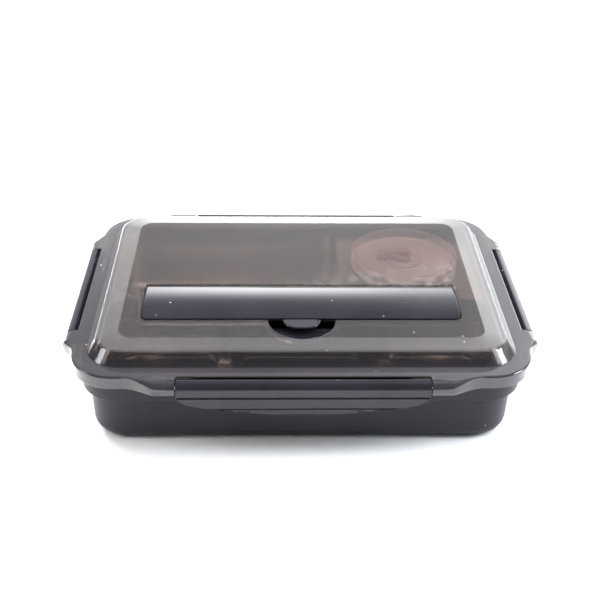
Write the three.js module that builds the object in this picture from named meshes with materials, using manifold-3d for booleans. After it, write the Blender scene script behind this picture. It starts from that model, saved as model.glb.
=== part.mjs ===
// Rectangular bento lunch box: plastic base and smoked lid with four snap latches, a cutlery compartment
// in the lid, and a steel tray and soup bowl inside. Millimetres, +Z up, front towards -Y, standing on z = 0.
import * as THREE from 'three';
import { mergeVertices } from 'three/addons/utils/BufferGeometryUtils.js';
import Module from 'manifold-3d';

const wasm = await Module();
wasm.setup();

// ---- driving dimensions ----
const FLANGE = { x: 136.8, y: 99.6, corner: 27 }; // half sizes and corner radius of the lid flange
const CORNER_EASE = 0.65;        // how much a corner radius shrinks for each mm of inset
const CORNER_STEPS = 6;
const GAP = 0.3;                 // running clearance between pieces that touch

const BASE_WALL = 8.7;           // insets from the flange outline
const COLLAR = 5;
const RIM_OUT = 7.2;
const RIM_IN = 8.9;
const LEDGE_IN = 10.8;
const LID_WALL_FOOT = 9.5;
const LID_WALL_TOP = 15.8;
const LID_PANEL = 27;

const BASE_FLOOR = 2.2;          // heights
const COLLAR_Z = [33.8, 46.6];
const LEDGE_Z = 47.6;
const RIM_Z = 50.2;
const SKIRT_Z = 46.3;
const FLANGE_Z = 54.9;
const LID_TOP = 63.8;
const LID_THICK = 2;
const FOOT_FILLET = 9;

const HINGE = { out: 2.6, z: 49.7, barrel: 5, pin: 1.2 };   // latch pivot, out from the flange outline
const FRONT_LATCH = { half: 73, earEnd: 104, lip: 45, catch: 64 };
const SIDE_LATCH = { half: 50.3, earEnd: 73, lip: 30, catch: 42 };
const EAR_GAP = 0.6;             // between a latch end and its ear
const PIN_BITE = 7;              // length of each pin end inside its ear
const CATCH = { out: 2.4, z: 40.4, tall: 2.9 };             // ridge on the collar, behind each latch's hook
const HOOK_THICK = 2.4;

const COVER = { half: 97.2, back: -13.3, front: -52, crown: 66, edge: 63.9, thick: 1.7, corner: 4 };
const COVER_PIVOT = { y: -15.5, z: 61.7, r: 2.2, stub: 1.2, stubLength: 2.6 };
const NOTCH_RADIUS = 20.5;       // finger notch in front of the cover
const OPENING = { half: 98.1, back: -12.3, front: -53.1, corner: 4.5 };
const TROUGH = { half: 97.3, back: -12.8, front: -52.6, floor: 51.2, wall: 1.2 };
const DISH_FLOOR = 57;

const STEEL = 0.8;
const TRAY_TOP = 48.7;
const TRAY_BOTTOM = 5.5;
const TRAY_EDGE = 9.3;           // inset of the tray rim
const COMPARTMENTS = [
  { x: [-124, -49], y: [-86.8, -5] },
  { x: [-43, 46], y: [-86.8, -5] },
  { x: [52, 124], y: [-86.8, -5] },
  { x: [-124, 28], y: [1, 86.8] },
];
const BOWL = { x: 72.5, y: 38.5, rim: 39, wall: 35.4, foot: 24, bottom: 7.2 };
const BOWL_LID = { r: 36.6, skirt: 32.7, top: 54.2, ring: [8.8, 12.9], hole: 2.7, button: 5.2, tab: 19 };

const CHOPSTICK = { length: 188, thick: 2.3, tip: 1.1, y: [-26.6, -21] };
const SPOON = { length: 184, bowl: 40, width: 22, depth: 5.6, y: -40.6 };

// ---- helpers ----
function toSolid(geometry) {
  const bare = new THREE.BufferGeometry();
  bare.setAttribute('position', geometry.getAttribute('position'));
  if (geometry.index) bare.setIndex(geometry.index);
  const merged = mergeVertices(bare, 1e-4);
  return new wasm.Manifold(new wasm.Mesh({
    numProp: 3,
    vertProperties: new Float32Array(merged.getAttribute('position').array),
    triVerts: new Uint32Array(merged.index.array),
  }));
}

function toGeometry(solid) {
  const mesh = solid.getMesh();
  const geometry = new THREE.BufferGeometry();
  geometry.setAttribute('position', new THREE.BufferAttribute(mesh.vertProperties, 3));
  geometry.setIndex(new THREE.BufferAttribute(mesh.triVerts, 1));
  return geometry;
}

// Outline of a rounded rectangle, counter-clockwise.
function roundedRect(halfX, halfY, radius, steps = CORNER_STEPS, cx = 0, cy = 0) {
  const points = [];
  for (let corner = 0; corner < 4; corner++) {
    const sx = corner === 0 || corner === 3 ? 1 : -1;
    const sy = corner < 2 ? 1 : -1;
    for (let i = 0; i <= steps; i++) {
      const angle = (corner + i / steps) * Math.PI / 2;
      points.push(new THREE.Vector2(
        cx + sx * (halfX - radius) + radius * Math.cos(angle),
        cy + sy * (halfY - radius) + radius * Math.sin(angle)));
    }
  }
  return points;
}

// The box's own outline at an inset from the lid flange, lifted to z.
function ring(inset, z) {
  const outline = roundedRect(FLANGE.x - inset, FLANGE.y - inset, FLANGE.corner - CORNER_EASE * inset);
  return outline.map((p) => new THREE.Vector3(p.x, p.y, z));
}

// Closed solid through a stack of outlines with equal point counts. The first and last outlines are
// capped, or joined to each other when loop is true. A matrix turns the finished stack.
function loft(rings, { loop = false, matrix = null } = {}) {
  const count = rings[0].length;
  const positions = rings.flat().flatMap((p) => [p.x, p.y, p.z]);
  const index = [];
  const spans = loop ? rings.length : rings.length - 1;
  for (let r = 0; r < spans; r++) {
    const low = r * count;
    const high = ((r + 1) % rings.length) * count;
    for (let i = 0; i < count; i++) {
      const j = (i + 1) % count;
      index.push(low + i, low + j, high + j, low + i, high + j, high + i);
    }
  }
  if (!loop) {
    const flat = (outline) => outline.map((p) => new THREE.Vector2(p.x, p.y));
    const top = (rings.length - 1) * count;
    for (const [a, b, c] of THREE.ShapeUtils.triangulateShape(flat(rings[0]), [])) index.push(a, c, b);
    for (const [a, b, c] of THREE.ShapeUtils.triangulateShape(flat(rings.at(-1)), [])) {
      index.push(top + a, top + b, top + c);
    }
  }
  const geometry = new THREE.BufferGeometry();
  geometry.setAttribute('position', new THREE.Float32BufferAttribute(positions, 3));
  geometry.setIndex(index);
  if (matrix) geometry.applyMatrix4(matrix);
  return toSolid(geometry);
}

// Turns a stack built along Z so that it runs along X, its outlines' x and y becoming y and z.
const ALONG_X = new THREE.Matrix4().makeBasis(
  new THREE.Vector3(0, 1, 0), new THREE.Vector3(0, 0, 1), new THREE.Vector3(1, 0, 0));

function extrudeUp(points, z0, z1) {
  const geometry = new THREE.ExtrudeGeometry(new THREE.Shape(points),
    { depth: z1 - z0, bevelEnabled: false, curveSegments: 12 });
  return toSolid(geometry.translate(0, 0, z0));
}

// A profile drawn as [y, z] points, swept along X from x0 to x1.
function extrudeAlongX(profile, x0, x1) {
  const shape = new THREE.Shape(profile.map(([y, z]) => new THREE.Vector2(y, z)));
  const geometry = new THREE.ExtrudeGeometry(shape, { depth: x1 - x0, bevelEnabled: false });
  return toSolid(geometry.applyMatrix4(ALONG_X).translate(x0, 0, 0));
}

function box(x0, x1, y0, y1, z0, z1) {
  const geometry = new THREE.BoxGeometry(x1 - x0, y1 - y0, z1 - z0);
  return toSolid(geometry.translate((x0 + x1) / 2, (y0 + y1) / 2, (z0 + z1) / 2));
}

function rodAlongX(radius, x0, x1, y, z, sides = 24) {
  const geometry = new THREE.CylinderGeometry(radius, radius, x1 - x0, sides);
  return toSolid(geometry.rotateZ(Math.PI / 2).translate((x0 + x1) / 2, y, z));
}

// Profile of [radius, z] points turned about a vertical axis at (x, y).
function turned(profile, x, y, sides = 32) {
  const points = profile.map(([r, z]) => new THREE.Vector2(r, z));
  const geometry = new THREE.LatheGeometry(points, sides);
  return toSolid(geometry.rotateX(Math.PI / 2).translate(x, y, 0));
}

const arc = (cx, cy, radius, from, to, steps) => Array.from({ length: steps + 1 }, (_, i) => {
  const angle = THREE.MathUtils.degToRad(from + (to - from) * i / steps);
  return [cx + radius * Math.cos(angle), cy + radius * Math.sin(angle)];
});

const union = (solids) => solids.reduce((a, b) => a.add(b));

// ---- base shell ----
function baseShell() {
  const low = BASE_WALL + 0.9;           // the wall leans out a little towards the top
  const inner = LEDGE_IN + 0.9;
  const innerFillet = FOOT_FILLET - BASE_FLOOR;
  const rings = [ring(33, 1), ring(32, 0)];
  for (const [dx, z] of arc(0, FOOT_FILLET, FOOT_FILLET, -90, 0, 5)) {
    rings.push(ring(low + FOOT_FILLET - dx, z));
  }
  rings.push(
    ring(BASE_WALL, COLLAR_Z[1] - 2), ring(COLLAR + 1.7, COLLAR_Z[1] - 2), ring(COLLAR + 1.7, COLLAR_Z[0] + 0.4),
    ring(COLLAR + 1, COLLAR_Z[0]), ring(COLLAR, COLLAR_Z[0] + 0.8), ring(COLLAR, COLLAR_Z[1] - 0.8),
    ring(COLLAR + 0.8, COLLAR_Z[1]), ring(RIM_OUT, COLLAR_Z[1]), ring(RIM_OUT, RIM_Z - 0.4),
    ring(RIM_OUT + 0.4, RIM_Z), ring(RIM_IN - 0.4, RIM_Z), ring(RIM_IN, RIM_Z - 0.4),
    ring(RIM_IN, LEDGE_Z), ring(LEDGE_IN, LEDGE_Z));
  for (const [dx, z] of arc(0, BASE_FLOOR + innerFillet, innerFillet, 0, -90, 4)) {
    rings.push(ring(inner + innerFillet - dx, z));
  }
  return union([loft(rings), ...eachSide((side, latch) => catchRidge(latch).map((s) => side(s)))]);
}

// Ridge on the collar, drawn for the front side with its hinge axis at the origin.
function catchRidge(latch) {
  const wall = -(HINGE.out + COLLAR);
  const tip = wall + CATCH.out;
  const z = CATCH.z - HINGE.z;
  const profile = [[-wall + 0.6, z], [-wall + 0.6, z + CATCH.tall], [-wall - 1, z + CATCH.tall],
    [-tip, z + 0.9], [-tip, z]];
  return [extrudeAlongX(profile, -latch.catch, latch.catch)];
}

// Runs make(side, latch) for front, right, back and left. side() carries a solid drawn about the hinge
// axis of the front latch to that side's hinge axis.
function eachSide(make) {
  return SIDES.flatMap(({ turn, reach, latch }) => {
    const side = (solid) => solid.translate([0, -(reach + HINGE.out), HINGE.z]).rotate([0, 0, turn]);
    return make(side, latch);
  });
}

// ---- lid ----
function lidShell() {
  const under = FLANGE_Z - LID_THICK;
  const shell = loft([
    ring(LID_PANEL - 5.4, LID_TOP - LID_THICK), ring(LID_WALL_TOP + 1.4, LID_TOP - 2.7),
    ring(LID_WALL_FOOT + 2, under + 0.8), ring(LID_WALL_FOOT + 1.3, under), ring(LID_WALL_FOOT + 1.3, under - 1.8),
    ring(10, under - 1.8), ring(10, under), ring(6.1, under), ring(6.1, under - 1.8),
    ring(5.1, under - 1.8), ring(5.1, under), ring(2, under), ring(2, SKIRT_Z),
    ring(0, SKIRT_Z), ring(0, FLANGE_Z - 0.8), ring(0.8, FLANGE_Z), ring(LID_WALL_FOOT - 0.9, FLANGE_Z),
    ring(LID_WALL_FOOT + 0.2, FLANGE_Z + 0.5), ring(LID_WALL_TOP - 1.5, LID_TOP - 2),
    ring(LID_WALL_TOP - 0.8, LID_TOP - 1.1), ring(LID_WALL_TOP + 0.6, LID_TOP - 0.6), ring(LID_PANEL, LID_TOP),
  ]);
  const ears = eachSide((side, latch) => [-1, 1].map((end) => side(ear(latch, end))));
  const boss = (end) => {
    const [x0, x1] = end > 0 ? [OPENING.half, OPENING.half + 3.6] : [-OPENING.half - 3.6, -OPENING.half];
    return box(x0, x1, COVER_PIVOT.y - 2.7, OPENING.back - 0.3, COVER_PIVOT.z - 2.3, LID_TOP - 0.5);
  };
  const solid = union([shell, ...ears, boss(-1), boss(1)]);
  const cuts = eachSide((side, latch) => latchRecess(latch).map((s) => side(s)));
  const stubHole = rodAlongX(COVER_PIVOT.stub + GAP, -OPENING.half - 2.7, OPENING.half + 2.7,
    COVER_PIVOT.y, COVER_PIVOT.z, 16);
  return solid.subtract(union(cuts)).subtract(lidOpening()).subtract(stubHole);
}

// One hinge ear: a round end that carries the pin, blending into a band that sweeps back to the flange.
// Each section across the band is a square edge at the flange and a round one at the latch.
function ear(latch, end) {
  const start = latch.half + EAR_GAP;
  const roundEnd = start + 7;
  const edge = -HINGE.out;
  const low = SKIRT_Z - HINGE.z;
  const high = FLANGE_Z - HINGE.z;
  const section = (along, blend) => {
    const out = edge + (HINGE.barrel - edge) * Math.min(1, blend * 1.15);
    const soft = blend ** 1.3;
    const mix = (square, round) => square + (round - square) * soft;
    const curve = mix(0.7, HINGE.barrel);
    const bottom = mix(low, -HINGE.barrel);
    const upper = Array.from({ length: 5 }, (_, i) => {
      const angle = i / 4 * Math.PI / 2;
      return [out - curve * (1 - Math.cos(angle)), high - curve * (1 - Math.sin(angle))];
    });
    const lower = Array.from({ length: 4 }, (_, i) => {
      const angle = i / 3 * Math.PI / 2;
      return [out - curve * (1 - Math.sin(angle)), bottom + curve * (1 - Math.cos(angle))];
    });
    const points = [[edge - 1.5, high], [edge - 1.5, low], ...lower, ...upper];
    return points.reverse().map(([outward, up]) => new THREE.Vector3(-outward, up, along));
  };
  const stations = [section(start + 5, 1)];
  const steps = 7;
  for (let i = 0; i <= steps; i++) {
    const t = i / steps;
    const blend = (1 + Math.cos(Math.PI * t)) / 2;
    stations.push(section(roundEnd + (latch.earEnd - roundEnd) * t, blend));
  }
  const solid = union([
    loft(stations, { matrix: ALONG_X }),
    rodAlongX(HINGE.barrel, start, roundEnd, 0, 0),
    box(start, roundEnd, 0, -edge + 1.5, low, high),
  ]).subtract(rodAlongX(HINGE.pin + 0.25, start - 1, latch.half + PIN_BITE + GAP, 0, 0, 12));
  return end > 0 ? solid : solid.mirror([1, 0, 0]);
}

// Room for the latch barrel between its ears.
function latchRecess(latch) {
  const half = latch.half + EAR_GAP;
  const clear = HINGE.barrel + 0.4;
  return [
    rodAlongX(clear, -half, half, 0, 0),
    box(-half, half, -20, 3.2, -10, 10),
    box(-half, half, -20, clear, -10, 0),
  ];
}

// Opening over the cutlery compartment: square corners at the cover's hinge, so that its ends swing clear,
// and round ones in front.
function lidOpening() {
  const middle = (OPENING.back + OPENING.front) / 2;
  const slot = roundedRect(OPENING.half, (OPENING.back - OPENING.front) / 2, OPENING.corner, 4, 0, middle);
  const squareBack = box(-OPENING.half, OPENING.half, middle, OPENING.back, 55, 70);
  return union([extrudeUp(slot, 55, 70), squareBack, halfDisk(NOTCH_RADIUS, 55, 70)]);
}

// Half disk in front of the cover, its flat side just behind the opening's front edge.
function halfDisk(radius, z0, z1) {
  const points = arc(0, OPENING.front, radius, 180, 360, 18).map(([x, y]) => new THREE.Vector2(x, y));
  const behind = OPENING.front + 3;
  return extrudeUp([...points, new THREE.Vector2(radius, behind), new THREE.Vector2(-radius, behind)], z0, z1);
}

const lidSeal = () => loft([ring(9.7, 50.5), ring(6.4, 50.5), ring(6.4, 52.5), ring(9.7, 52.5)], { loop: true });

// ---- latches and pins, drawn about the hinge axis of the front latch ----
function latchBody(latch) {
  const foot = -13.4;                    // lower edge of the panel, below the hinge axis
  const face = -HINGE.barrel;
  const inside = -1.4;
  const profile = [
    [0, 2], [face + 0.1, 1], [face, -1], [face - 0.2, -3.2], [face + 0.6, -4.3], [face + 0.1, -5.3],
    [face + 0.6, foot + 1.9], [face, foot + 0.9], [face, foot], [inside, foot], [inside, -4], [0, -2],
  ];
  const reach = HINGE.out + COLLAR - CATCH.out - GAP;          // clears the ridge, so the lid can rise
  const hookTop = CATCH.z - HINGE.z - GAP;
  const front = new THREE.Shape();
  const corner = 10;
  front.moveTo(-latch.half, 6);
  front.lineTo(-latch.half, foot + corner);
  front.absarc(-latch.half + corner, foot + corner, corner, Math.PI, 1.5 * Math.PI, false);
  front.lineTo(latch.half - corner, foot);
  front.absarc(latch.half - corner, foot + corner, corner, 1.5 * Math.PI, 2 * Math.PI, false);
  front.lineTo(latch.half, 6);
  const mask = upright(front.extractPoints(8).shape, -10, 5);
  const panel = extrudeAlongX([...profile].reverse(), -latch.half, latch.half).intersect(mask);
  const hook = extrudeAlongX([[inside - 0.2, hookTop - HOOK_THICK], [reach - 0.8, hookTop - HOOK_THICK],
    [reach, hookTop - 1.4], [reach, hookTop], [inside - 0.2, hookTop]], -latch.catch + 1, latch.catch - 1);
  const sagitta = 4.8;
  const lipRadius = (latch.lip ** 2 + sagitta ** 2) / (2 * sagitta);
  const sweep = THREE.MathUtils.radToDeg(Math.asin(latch.lip / lipRadius));
  const lipArc = arc(0, foot - sagitta + lipRadius, lipRadius, 270 - sweep, 270 + sweep, 14);
  const lipShape = [...lipArc, [latch.lip, foot + 1.5], [-latch.lip, foot + 1.5]];
  const lip = upright(lipShape.map(([x, z]) => new THREE.Vector2(x, z)), -3.2, -1.8);
  return union([rodAlongX(HINGE.barrel, -latch.half, latch.half, 0, 0), panel, hook, lip])
    .subtract(rodAlongX(HINGE.pin + 0.35, -latch.half - 1, latch.half + 1, 0, 0, 12));
}

// A front-view outline of (x, z) points, extruded from y0 to y1.
function upright(points, y0, y1) {
  const geometry = new THREE.ExtrudeGeometry(new THREE.Shape(points), { depth: y1 - y0, bevelEnabled: false });
  return toSolid(geometry.rotateX(Math.PI / 2).translate(0, y1, 0));
}

const hingePin = (latch) => rodAlongX(HINGE.pin, -latch.half - PIN_BITE, latch.half + PIN_BITE, 0, 0, 12);

// ---- cutlery compartment ----
function cutleryTray() {
  const w = TROUGH.wall;
  const middle = (TROUGH.back + TROUGH.front) / 2;
  const depth = (TROUGH.back - TROUGH.front) / 2;
  const trough = (grow, z0, z1) => extrudeUp(
    roundedRect(TROUGH.half + grow, depth + grow, COVER.corner + grow, 4, 0, middle), z0, z1);
  const lip = LID_TOP - LID_THICK - GAP;
  const dish = NOTCH_RADIUS - 0.6;
  const seat = box(-110, 110, COVER_PIVOT.y - 3, TROUGH.back + 4, COVER_PIVOT.z - 2.6, 70)
    .subtract(box(-TROUGH.half + 6, TROUGH.half - 6, -60, 0, 40, 80));
  return union([
    trough(w, TROUGH.floor - w, lip), trough(4, lip - 1, lip),
    halfDisk(dish + w, DISH_FLOOR - w, lip), halfDisk(dish + 3.4, lip - 1, lip),
  ]).subtract(trough(0, TROUGH.floor, 70)).subtract(halfDisk(dish, DISH_FLOOR, 70)).subtract(seat);
}

function cutleryCover() {
  const { y, z, r, stub, stubLength } = COVER_PIVOT;
  const top = [];
  const steps = 10;
  const from = y;
  const to = COVER.front + 0.8;
  for (let i = 0; i <= steps; i++) {
    const t = i / steps;
    const bow = 4 * t * (1 - t);
    top.push([from + (to - from) * t, COVER.edge + (COVER.crown - COVER.edge) * bow]);
  }
  const under = top.map(([py, pz]) => [py, pz - COVER.thick]).reverse();
  const profile = [...top, [COVER.front, COVER.edge - 0.8], [COVER.front, COVER.edge - 2], [to - 0.4, COVER.edge - 2],
    ...under];
  const middle = (COVER.back + COVER.front) / 2;
  const plan = roundedRect(COVER.half, (COVER.back - COVER.front) / 2, COVER.corner, 4, 0, middle);
  const plate = union([extrudeAlongX(profile, -COVER.half, COVER.half),
    rodAlongX(r, -COVER.half, COVER.half, y, z, 20)])
    .intersect(extrudeUp(plan, 50, 70).add(box(-COVER.half, COVER.half, middle, COVER.back, 50, 70)));
  const tab = roundedRect(11.5, 9.5, 9, 6, 0, COVER.front + 0.3);
  return union([plate, extrudeUp(tab, COVER.edge - 2, COVER.edge - 0.5),
    rodAlongX(stub, -COVER.half - stubLength, COVER.half + stubLength, y, z, 12)]);
}

function chopstick(y) {
  const { length, thick, tip } = CHOPSTICK;
  const geometry = new THREE.LatheGeometry([[0, 0], [thick - 0.4, 0], [thick, 0.6], [thick, length * 0.35],
    [tip, length - 1], [0, length]].map(([r, h]) => new THREE.Vector2(r, h)), 10);
  geometry.rotateZ(-Math.PI / 2).translate(-length / 2, y, TROUGH.floor + GAP + thick);
  return toSolid(geometry);
}

function spoon() {
  const { length, bowl, width, depth, y } = SPOON;
  const rim = TROUGH.floor + GAP + depth;
  const thick = 0.9;
  const centre = length / 2 - bowl / 2;
  const cup = (grow) => toSolid(new THREE.SphereGeometry(1, 20, 12)
    .scale(bowl / 2 + grow, width / 2 + grow, depth + grow).translate(centre, 0, rim));
  const hollow = cup(0).subtract(cup(-thick)).subtract(box(-200, 200, -50, 50, rim, rim + 20));
  const neck = centre - bowl / 2 + 1.6;
  const tail = -length / 2;
  const profile = [[neck, rim - 0.1], [neck - 14, rim - 0.9], [tail + 40, rim - 3.9], [tail, rim - 4.3]];
  const side = [...profile, ...profile.map(([x, z]) => [x, z - 1.2]).reverse()];
  const handle = upright(side.map(([x, z]) => new THREE.Vector2(x, z)), -8, 8);
  const plan = [[tail, 3.2], [tail + 2.5, 5.6], [tail + 30, 5.4], [neck - 20, 2.6], [neck, 3.2]];
  const outline = [...plan.map(([x, h]) => [x, -h]), ...plan.reverse()];
  const mask = extrudeUp(outline.map(([x, h]) => new THREE.Vector2(x, h)), 40, 70);
  return hollow.add(handle.intersect(mask).subtract(cup(-thick))).translate([0, y, 0]);
}

// ---- steel tray and soup bowl ----
// A drawn compartment, its walls leaning in towards a rounded floor; shrink is 0 outside, STEEL inside.
function compartment({ x, y }, shrink, bottom, top) {
  const lean = 3;
  const fillet = 5;
  const halfX = (x[1] - x[0]) / 2 - shrink;
  const halfY = (y[1] - y[0]) / 2 - shrink;
  const at = (inset, z) => roundedRect(halfX - inset, halfY - inset, 14 - shrink - inset / 2, 5,
    (x[0] + x[1]) / 2, (y[0] + y[1]) / 2).map((p) => new THREE.Vector3(p.x, p.y, z));
  const curve = arc(0, bottom + fillet, fillet, -90, -15, 3).map(([dx, z]) => at(lean + fillet - dx, z));
  return loft([...curve, at(0, top)]);
}

function innerTray() {
  const { x, y, wall, foot, bottom } = BOWL;
  const floor = bottom - 1;
  const well = (grow, low, top) => turned([[0, low], [foot + 2 + grow, low], [foot + 7.5 + grow, low + 5],
    [wall + 0.5 + grow, top], [0, top]], x, y);
  const rim = loft([ring(TRAY_EDGE, TRAY_TOP - STEEL), ring(TRAY_EDGE, TRAY_TOP)]);
  const outer = union([rim, ...COMPARTMENTS.map((c) => compartment(c, 0, TRAY_BOTTOM, TRAY_TOP - 0.2)),
    well(STEEL, floor - STEEL, TRAY_TOP - 0.2)]);
  const inner = union([...COMPARTMENTS.map((c) => compartment(c, STEEL, TRAY_BOTTOM + STEEL, TRAY_TOP + 1)),
    well(0, floor, TRAY_TOP + 1)]);
  return outer.subtract(inner);
}

function soupBowl() {
  const { x, y, rim, wall, foot, bottom } = BOWL;
  const top = TRAY_TOP + GAP + STEEL;
  const outside = [[0, bottom], [foot, bottom], [foot + 6, bottom + 4], [wall - 0.8, top - 8], [wall, top - STEEL]];
  const inside = [[wall - STEEL, top], [wall - 0.8 - STEEL, top - 8], [foot + 5.4, bottom + 4 + STEEL],
    [foot - 0.5, bottom + STEEL], [0, bottom + STEEL]];
  return turned([...outside, [rim, top - STEEL], [rim, top], ...inside], x, y);
}

function soupBowlLid() {
  const { r, skirt, top, ring: [raisedIn, raisedOut], hole } = BOWL_LID;
  const thick = 1.2;
  const seat = TRAY_TOP + STEEL + 2 * GAP;
  return turned([[hole, top - thick], [skirt - thick, top - thick], [skirt - thick, seat - 4.5], [skirt, seat - 4.5],
    [skirt, seat], [r, seat], [r, seat + 1.1], [r - 0.4, seat + 1.5], [skirt + 0.8, seat + 1.5],
    [skirt + 0.2, top - 0.6], [skirt - 0.6, top], [raisedOut, top], [raisedOut - 0.4, top + 1],
    [raisedIn + 0.4, top + 1], [raisedIn, top], [hole, top], [hole, top - thick]], BOWL.x, BOWL.y);
}

function soupLidSeal() {
  const inner = BOWL_LID.skirt + GAP;
  return turned([[inner, 46.6], [inner + 1, 46.6], [inner + 1, 49.3], [inner, 49.3], [inner, 46.6]], BOWL.x, BOWL.y);
}

// Silicone plug in the middle of the bowl's lid, with a pull tab that reaches over the raised ring.
function soupLidPlug() {
  const { top, hole, button, tab } = BOWL_LID;
  const plug = turned([[0, top - 3], [hole + 0.7, top - 3], [hole + 0.9, top - 1.6], [hole - 0.4, top - 1.5],
    [hole - 0.4, top + GAP], [button, top + GAP], [button, top + 1.6], [button - 0.8, top + 2.2], [0, top + 2.2]],
    BOWL.x, BOWL.y, 24);
  const length = tab / 2;
  const strip = roundedRect(length, 3, 2.6, 4, BOWL.x - length, BOWL.y);
  return plug.add(extrudeUp(strip, top + 1.3, top + 2.1));
}

// ---- assembly ----
const SIDES = [
  { name: 'front', turn: 0, reach: FLANGE.y, latch: FRONT_LATCH },
  { name: 'right', turn: 90, reach: FLANGE.x, latch: SIDE_LATCH },
  { name: 'back', turn: 180, reach: FLANGE.y, latch: FRONT_LATCH },
  { name: 'left', turn: -90, reach: FLANGE.x, latch: SIDE_LATCH },
];

const plastic = (color, roughness) => new THREE.MeshStandardMaterial({ color, roughness, metalness: 0 });
const basePlastic = plastic(0x4a484e, 0.42);
const smokedPlastic = new THREE.MeshStandardMaterial(
  { color: 0x77706f, roughness: 0.2, metalness: 0, transparent: true, opacity: 0.8 });
const glossPlastic = plastic(0x24242c, 0.16);
const silicone = plastic(0xb9b7b4, 0.6);
const bowlLidPlastic = plastic(0xa98f8b, 0.35);
const chopstickPlastic = plastic(0x2c2a2a, 0.45);
const steel = new THREE.MeshStandardMaterial({ color: 0xc4c2bd, roughness: 0.3, metalness: 1 });

const lunchBox = new THREE.Group();

function addPiece(name, solid, material) {
  const mesh = new THREE.Mesh(toGeometry(solid), material);
  mesh.name = name;
  lunchBox.add(mesh);
}

addPiece('base_shell', baseShell(), basePlastic);
addPiece('inner_tray', innerTray(), steel);
addPiece('soup_bowl', soupBowl(), steel);
addPiece('soup_bowl_lid', soupBowlLid(), bowlLidPlastic);
addPiece('soup_lid_seal', soupLidSeal(), silicone);
addPiece('soup_lid_plug', soupLidPlug(), silicone);
addPiece('lid_shell', lidShell(), smokedPlastic);
addPiece('lid_seal', lidSeal(), silicone);
addPiece('cutlery_tray', cutleryTray(), glossPlastic);
addPiece('cutlery_cover', cutleryCover(), glossPlastic);
addPiece('spoon', spoon(), steel);
CHOPSTICK.y.forEach((y, i) => addPiece(`chopstick_${i + 1}`, chopstick(y), chopstickPlastic));
for (const { name, turn, reach, latch } of SIDES) {
  const place = (solid) => solid.translate([0, -(reach + HINGE.out), HINGE.z]).rotate([0, 0, turn]);
  addPiece(`latch_${name}`, place(latchBody(latch)), glossPlastic);
  addPiece(`hinge_pin_${name}`, place(hingePin(latch)), steel);
}

export default lunchBox;
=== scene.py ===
import math

import bmesh
import bpy
from mathutils import Matrix, Vector


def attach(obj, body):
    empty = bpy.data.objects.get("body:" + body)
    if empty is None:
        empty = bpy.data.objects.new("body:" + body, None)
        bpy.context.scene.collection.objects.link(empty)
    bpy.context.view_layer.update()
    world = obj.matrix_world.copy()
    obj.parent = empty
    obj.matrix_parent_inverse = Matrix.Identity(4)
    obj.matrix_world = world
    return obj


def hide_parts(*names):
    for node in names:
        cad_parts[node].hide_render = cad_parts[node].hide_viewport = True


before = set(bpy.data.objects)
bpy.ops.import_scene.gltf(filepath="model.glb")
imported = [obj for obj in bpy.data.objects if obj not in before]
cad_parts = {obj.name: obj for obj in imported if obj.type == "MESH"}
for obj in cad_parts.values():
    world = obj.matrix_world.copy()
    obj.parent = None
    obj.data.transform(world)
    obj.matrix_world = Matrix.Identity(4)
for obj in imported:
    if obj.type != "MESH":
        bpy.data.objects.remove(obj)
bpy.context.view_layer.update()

# ---- driving dimensions, in millimetres ----
MM = 0.001
FLANGE_X, FLANGE_Y, FLANGE_CORNER = 136.8, 99.6, 27
CORNER_EASE = 0.65               # how much a corner radius shrinks for each mm of inset
CORNER_STEPS = 20

BASE_WALL = 8.7                  # insets from the flange outline
COLLAR = 5
RIM_OUT, RIM_IN = 7.2, 8.9
LEDGE_IN = 10.8
RECESS_IN = 33                   # the shallow recess in the underside
LID_WALL_FOOT, LID_WALL_TOP = 9.5, 15.8
LID_PANEL = 27
SKIRT_WALL = 2
GROOVE_IN, GROOVE_OUT, RIB_OUT = 10, 6.1, 5.1    # the groove for the lid's seal, and the rib outside it

BASE_FLOOR = 2.2                 # heights
COLLAR_LOW, COLLAR_HIGH = 33.8, 46.6
LEDGE_Z = 47.6
RIM_Z = 50.2
SKIRT_Z = 46.3
FLANGE_Z = 54.9
LID_TOP = 63.8

LID_THICK = 2                    # sizes
RECESS_DEEP = 1.0
GROOVE_DEEP = 1.8
FOOT_FILLET = 9
DRAFT = 0.9                      # how much the base's walls lean in towards the foot

HINGE_OUT, HINGE_Z, BARREL = 2.6, 49.7, 5
PIN, PIN_OVER = 1.2, 7           # a pin's radius, and how far it reaches past the latch at each end
FRONT_LATCH = {"half": 73, "ear_end": 104, "catch": 64}
SIDE_LATCH = {"half": 50.3, "ear_end": 73, "catch": 42}
EAR_GAP = 0.6
CATCH_OUT, CATCH_Z, CATCH_TALL = 2.4, 40.4, 2.9
HOOK_THICK, HOOK_GAP = 2.4, 0.3
SLOT_FROM = 0.5                  # where the open gap beside a latch's barrel begins, inward of its axis
LATCH_BORE, EAR_BORE = 0.35, 0.25    # how much each hole's radius exceeds the pin's

COVER = {"half": 97.2, "back": -13.3, "front": -52, "crown": 66, "edge": 63.9, "thick": 1.7, "corner": 4}
PIVOT_Y, PIVOT_Z, PIVOT_R, STUB_R = -15.5, 61.7, 2.2, 1.2
NOTCH_RADIUS = 20.5
OPENING = {"half": 98.1, "back": -12.3, "front": -53.1, "corner": 4.5}
TROUGH = {"half": 97.3, "back": -12.8, "front": -52.6, "floor": 51.2, "wall": 1.2}
DISH_FLOOR = 57
BELOW, ABOVE = 50, 70            # heights that cutters reach, clear of the cover on both sides

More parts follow.
